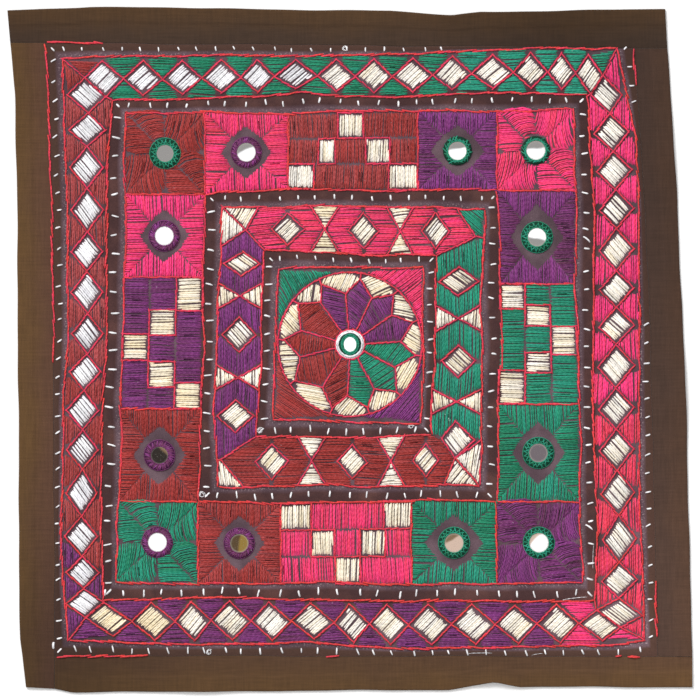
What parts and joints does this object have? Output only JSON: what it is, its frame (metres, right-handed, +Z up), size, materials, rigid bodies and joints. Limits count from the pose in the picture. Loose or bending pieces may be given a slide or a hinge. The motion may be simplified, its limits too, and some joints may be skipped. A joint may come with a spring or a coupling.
{
  "type": "embroidered tablecloth",
  "caption": "Square embroidered tablecloth lying flat: a satin-stitched panel of nested frames round a flower, with small round mirrors held by thread rings, and plain cotton border strips.",
  "frame": {"origin": "under the middle of the cloth, on the surface that it lies on", "axes": "+Z up, out of the embroidered face; +Y to the top edge of the cloth as it is seen in the picture; +X to its right edge"},
  "size_m": [0.4244, 0.425, 0.0039],
  "materials": {
    "ground_cotton": "dark brown-grey plain-weave cotton worked over with satin stitch in brick, pink, purple, green and cream thread",
    "border_cotton": "matt dark brown plain-weave cotton, faded lighter towards the outer edges",
    "mirror_glass": "small hand-cut mirror, some clouded",
    "ring_thread_green": "green cotton thread in buttonhole stitch",
    "ring_thread_purple": "purple cotton thread in buttonhole stitch"
  },
  "bodies": {
    "root": {"panel": "ground_cotton", "border_top": "border_cotton", "border_right": "border_cotton", "border_bottom": "border_cotton", "border_left": "border_cotton", "mirror_01": "mirror_glass", "mirror_02": "mirror_glass", "mirror_03": "mirror_glass", "mirror_04": "mirror_glass", "mirror_05": "mirror_glass", "mirror_06": "mirror_glass", "mirror_07": "mirror_glass", "mirror_08": "mirror_glass", "mirror_09": "mirror_glass", "mirror_10": "mirror_glass", "mirror_11": "mirror_glass", "mirror_12": "mirror_glass", "mirror_13": "mirror_glass", "mirror_ring_01": "ring_thread_green", "mirror_ring_02": "ring_thread_purple", "mirror_ring_03": "ring_thread_green", "mirror_ring_04": "ring_thread_green", "mirror_ring_05": "ring_thread_green", "mirror_ring_06": "ring_thread_green", "mirror_ring_07": "ring_thread_green", "mirror_ring_08": "ring_thread_green", "mirror_ring_09": "ring_thread_purple", "mirror_ring_10": "ring_thread_purple", "mirror_ring_11": "ring_thread_purple", "mirror_ring_12": "ring_thread_purple", "mirror_ring_13": "ring_thread_green"}
  },
  "joints": []
}
